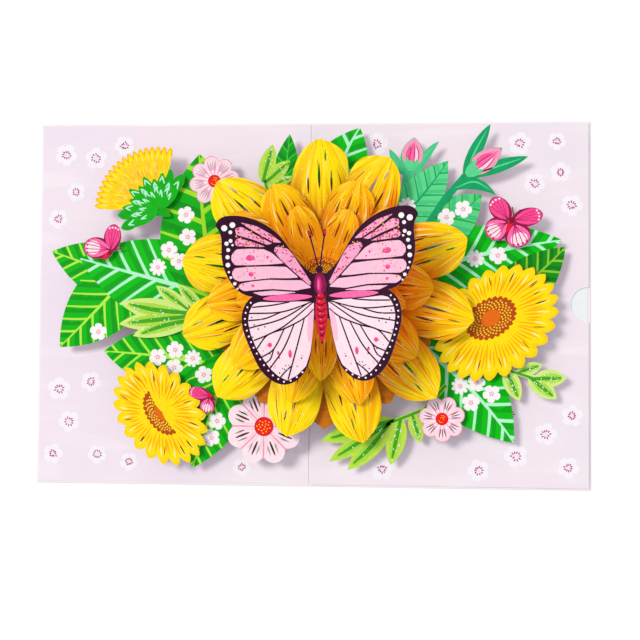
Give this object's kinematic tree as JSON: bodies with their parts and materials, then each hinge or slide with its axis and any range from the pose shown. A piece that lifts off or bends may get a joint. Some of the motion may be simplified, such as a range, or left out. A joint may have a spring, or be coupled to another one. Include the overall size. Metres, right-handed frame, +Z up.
{
  "type": "pop up card",
  "caption": "Pop-up greeting card lying open flat: layered die-cut flower with a butterfly on a riser over leaves and small flowers, and a note that slides out of a pocket.",
  "frame": {"origin": "middle of the fold on the cover's underside", "axes": "+X across the open card towards the pocket's free edge, +Y up the page along the fold, +Z up from the table"},
  "size_m": [0.304, 0.2, 0.0534],
  "materials": {
    "amber_petal_print": "satin printed amber",
    "bud_print": "satin printed green and pink",
    "butterfly_body_print": "satin printed crimson and plum",
    "butterfly_wing_print": "satin print, dark veins and pink cells, light glitter",
    "cover_board": "smooth white board",
    "green_leaf_print": "satin printed green",
    "lilac_paper": "matt printed pale lilac",
    "lime_leaf_print": "satin printed lime",
    "mint_leaf_print": "satin printed mint green",
    "pink_flower_print": "satin printed pale pink",
    "seed_print": "satin printed brown and gold",
    "small_butterfly_print": "satin printed pink",
    "structure_card": "matt white card",
    "sunflower_print": "satin printed yellow",
    "white_paper": "matt bluish white",
    "yellow_petal_print": "satin printed yellow"
  },
  "bodies": {
    "card": {"bud_spray_small": "bud_print", "bud_spray_tall": "bud_print", "butterfly_body": "butterfly_body_print", "butterfly_riser": "structure_card", "butterfly_tab_left": "structure_card", "butterfly_tab_right": "structure_card", "butterfly_wings": "butterfly_wing_print", "cover": "cover_board", "flower_disc": "seed_print", "flower_riser_left": "structure_card", "flower_riser_right": "structure_card", "flower_riser_spine": "structure_card", "inner_petals": "yellow_petal_print", "leaf_bottom_left": "green_leaf_print", "leaf_bottom_right": "green_leaf_print", "leaf_broad_left": "green_leaf_print", "leaf_broad_right": "green_leaf_print", "leaf_dark_right": "green_leaf_print", "leaf_dark_top": "green_leaf_print", "leaf_far_left": "green_leaf_print", "leaf_low_left": "green_leaf_print", "leaf_lower_left": "green_leaf_print", "leaf_mint_right": "mint_leaf_print", "leaf_pale_right": "mint_leaf_print", "leaf_prop_left": "structure_card", "leaf_prop_right": "structure_card", "leaf_top_right": "green_leaf_print", "leaf_upright_left": "green_leaf_print", "left_liner": "lilac_paper", "lower_petals": "amber_petal_print", "middle_petals": "yellow_petal_print", "outer_petals": "yellow_petal_print", "pink_flower_bottom": "pink_flower_print", "pink_flower_right": "pink_flower_print", "pink_flower_top": "pink_flower_print", "pink_tab_bottom": "structure_card", "pink_tab_right": "structure_card", "platform": "structure_card", "platform_riser_left": "structure_card", "platform_riser_right": "structure_card", "platform_riser_spine": "structure_card", "pocket_liner": "lilac_paper", "pocket_strip_bottom": "white_paper", "pocket_strip_fold": "white_paper", "pocket_strip_top": "white_paper", "small_butterfly_left": "small_butterfly_print", "small_butterfly_low": "small_butterfly_print", "small_butterfly_right": "small_butterfly_print", "sprig_bottom": "lime_leaf_print", "sprig_left": "lime_leaf_print", "sprig_right": "lime_leaf_print", "sprig_top_left": "lime_leaf_print", "sunflower_bottom_left": "sunflower_print", "sunflower_right": "sunflower_print", "sunflower_tab_bottom": "structure_card", "sunflower_tab_right": "structure_card", "sunflower_tab_top": "structure_card", "sunflower_top_left": "sunflower_print"},
    "note": {"note_card": "white_paper"}
  },
  "joints": [
    {"name": "note_slide", "type": "slide", "parent": "card", "child": "note", "axis": [1, 0, 0], "range_m": [0, 0.12]}
  ]
}
